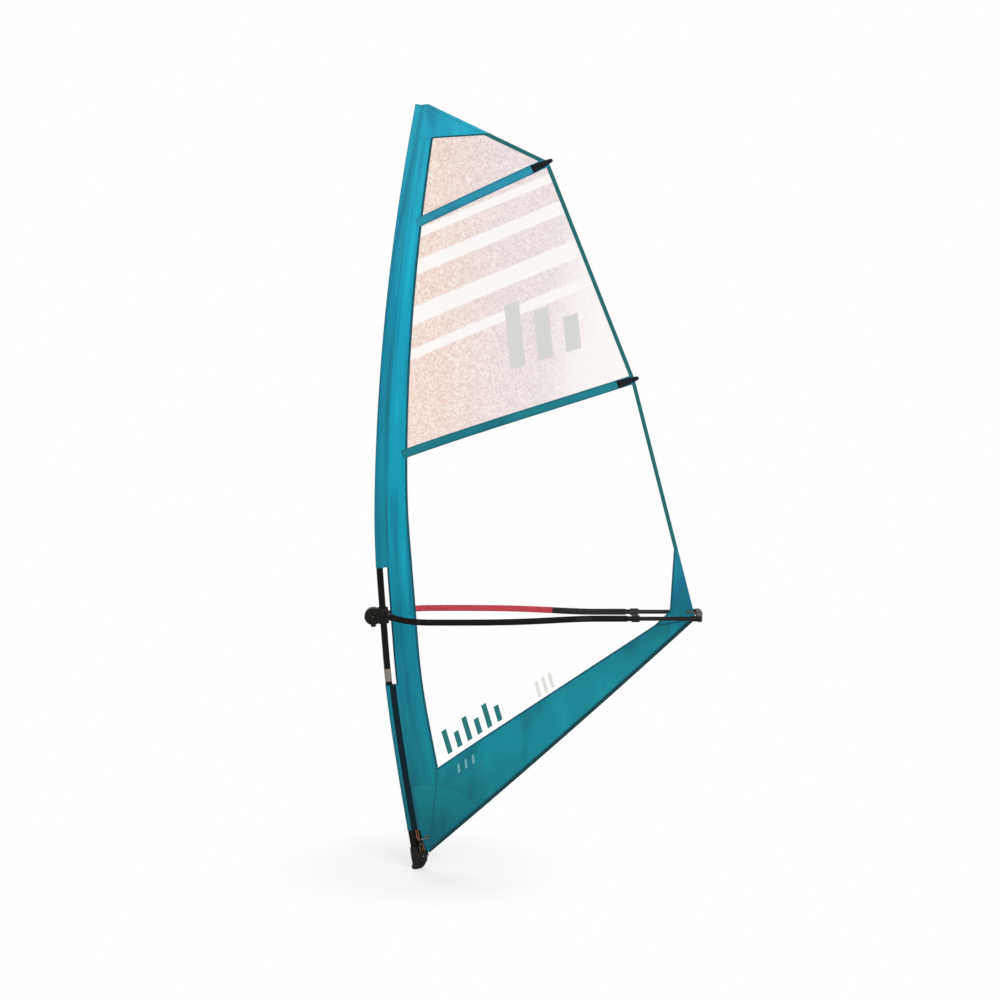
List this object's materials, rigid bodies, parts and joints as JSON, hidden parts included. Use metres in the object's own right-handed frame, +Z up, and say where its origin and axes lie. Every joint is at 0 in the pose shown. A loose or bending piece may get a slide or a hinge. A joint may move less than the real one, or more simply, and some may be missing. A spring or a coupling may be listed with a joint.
{
  "type": "windsurf rig",
  "caption": "Upright windsurf rig: bent mast in a luff sleeve, panelled sail with battens, wishbone boom clamped to the mast, and a mast foot with downhaul tackle.",
  "frame": {"origin": "centre of the mast foot's pin socket at its mouth", "axes": "+Z up, +X aft along the boom towards the clew, +Y starboard, the side that the sail bellies to"},
  "size_m": [1.63, 0.42, 3.7078],
  "materials": {
    "mast": "satin black composite tube with a pale band at its first joint",
    "black_nylon": "moulded black nylon",
    "pulley_plastic": "smooth dark acetal",
    "rubber": "matt black rubber",
    "sleeve_cloth": "woven teal polyester, darker at the front",
    "panel_cloth": "teal laminate cloth",
    "pocket_cloth": "teal woven pocket",
    "leech_tape": "greenish teal folded tape",
    "foot_tape": "dark teal folded tape",
    "batten_fibre": "pultruded glass fibre",
    "clear_film": "clear glossy film",
    "printed_film": "glossy film with a pale pink speckle",
    "stainless_steel": "polished stainless steel",
    "black_alloy": "black anodised aluminium",
    "black_foam": "fine-grained black foam grip",
    "red_foam": "fine-grained red foam grip",
    "rope": "beige braided rope"
  },
  "bodies": {
    "rig": {"base_housing": "black_nylon", "base_sheave_axle": "stainless_steel", "batten_1": "batten_fibre", "batten_2": "batten_fibre", "batten_cap_1": "black_nylon", "batten_cap_2": "black_nylon", "batten_pocket_1": "pocket_cloth", "batten_pocket_2": "pocket_cloth", "clew_panel": "panel_cloth", "clew_ring": "stainless_steel", "downhaul_cleat": "black_alloy", "downhaul_line": "rope", "extension_collar": "black_nylon", "extension_tube": "black_alloy", "foot_panel": "panel_cloth", "foot_tape": "foot_tape", "head_panel": "panel_cloth", "leech_tape_bottom": "leech_tape", "leech_tape_middle": "leech_tape", "leech_tape_top": "leech_tape", "luff_panel": "panel_cloth", "main_window": "clear_film", "mast_section_1": "mast", "mast_section_2": "mast", "mast_section_3": "mast", "mast_section_4": "mast", "mast_top_plug": "black_nylon", "mid_window": "printed_film", "sleeve_lower": "sleeve_cloth", "sleeve_upper": "sleeve_cloth", "tack_axle": "stainless_steel", "tack_block": "black_nylon", "tack_ring": "stainless_steel", "tack_shackle": "stainless_steel", "top_window": "printed_film"},
    "boom": {"arm_collar_port": "black_nylon", "arm_collar_starboard": "black_nylon", "boom_arm_port": "black_alloy", "boom_arm_starboard": "black_alloy", "boom_bush": "rubber", "boom_head": "black_nylon", "clamp_bolt": "stainless_steel", "clamp_nut": "stainless_steel", "grip_port": "black_foam", "grip_starboard_front": "red_foam", "grip_starboard_rear": "black_foam"},
    "base_sheave_1": {"base_sheave_1": "pulley_plastic"},
    "base_sheave_2": {"base_sheave_2": "pulley_plastic"},
    "boom_lever": {"boom_lever": "black_alloy"},
    "tail": {"boom_tail": "black_nylon", "outhaul_line": "rope", "roller_axle": "stainless_steel"},
    "collar_clip_port": {"collar_clip_port": "black_alloy"},
    "collar_clip_starboard": {"collar_clip_starboard": "black_alloy"},
    "outhaul_roller_1": {"outhaul_roller_1": "pulley_plastic"},
    "outhaul_roller_2": {"outhaul_roller_2": "pulley_plastic"},
    "release_button": {"release_button": "pulley_plastic"},
    "tack_sheave_1": {"tack_sheave_1": "pulley_plastic"},
    "tack_sheave_2": {"tack_sheave_2": "pulley_plastic"}
  },
  "joints": [
    {"name": "boom_height", "type": "slide", "parent": "rig", "child": "boom", "axis": [-0.0698, 0, 0.9976], "range_m": [-0.1, 0.1]},
    {"name": "boom_tail_extend", "type": "slide", "parent": "boom", "child": "tail", "axis": [1, 0, 0], "range_m": [0, 0.15], "deforming": ["outhaul_line"]},
    {"name": "boom_lever_hinge", "type": "hinge", "parent": "boom", "child": "boom_lever", "pos_m": [-0.21014, -0.0305, 1.24865], "axis": [-0.9976, 0, -0.0698], "range_deg": [0, 150]},
    {"name": "collar_clip_port_hinge", "type": "hinge", "parent": "boom", "child": "collar_clip_port", "pos_m": [1.066, -0.1138, 1.252], "axis": [0, 0, 1], "range_deg": [0, 75]},
    {"name": "collar_clip_starboard_hinge", "type": "hinge", "parent": "boom", "child": "collar_clip_starboard", "pos_m": [1.066, 0.1138, 1.252], "axis": [0, 0, -1], "range_deg": [0, 75]},
    {"name": "release_button_press", "type": "slide", "parent": "rig", "child": "release_button", "axis": [0, 1, 0], "range_m": [0, 0.003], "stiffness_N_per_m": 120},
    {"name": "base_sheave_1_spin", "type": "hinge", "parent": "rig", "child": "base_sheave_1", "pos_m": [0.02872, -0.0055, 0.06037], "axis": [0, 1, 0], "continuous": true},
    {"name": "base_sheave_2_spin", "type": "hinge", "parent": "rig", "child": "base_sheave_2", "pos_m": [0.02872, 0.0055, 0.06037], "axis": [0, 1, 0], "continuous": true},
    {"name": "tack_sheave_1_spin", "type": "hinge", "parent": "rig", "child": "tack_sheave_1", "pos_m": [0.01699, -0.0055, 0.12026], "axis": [0, 1, 0], "continuous": true},
    {"name": "tack_sheave_2_spin", "type": "hinge", "parent": "rig", "child": "tack_sheave_2", "pos_m": [0.01699, 0.0055, 0.12026], "axis": [0, 1, 0], "continuous": true},
    {"name": "outhaul_roller_1_spin", "type": "hinge", "parent": "tail", "child": "outhaul_roller_1", "pos_m": [1.3575, -0.0055, 1.252], "axis": [0, 1, 0], "continuous": true},
    {"name": "outhaul_roller_2_spin", "type": "hinge", "parent": "tail", "child": "outhaul_roller_2", "pos_m": [1.3575, 0.0055, 1.252], "axis": [0, 1, 0], "continuous": true}
  ]
}
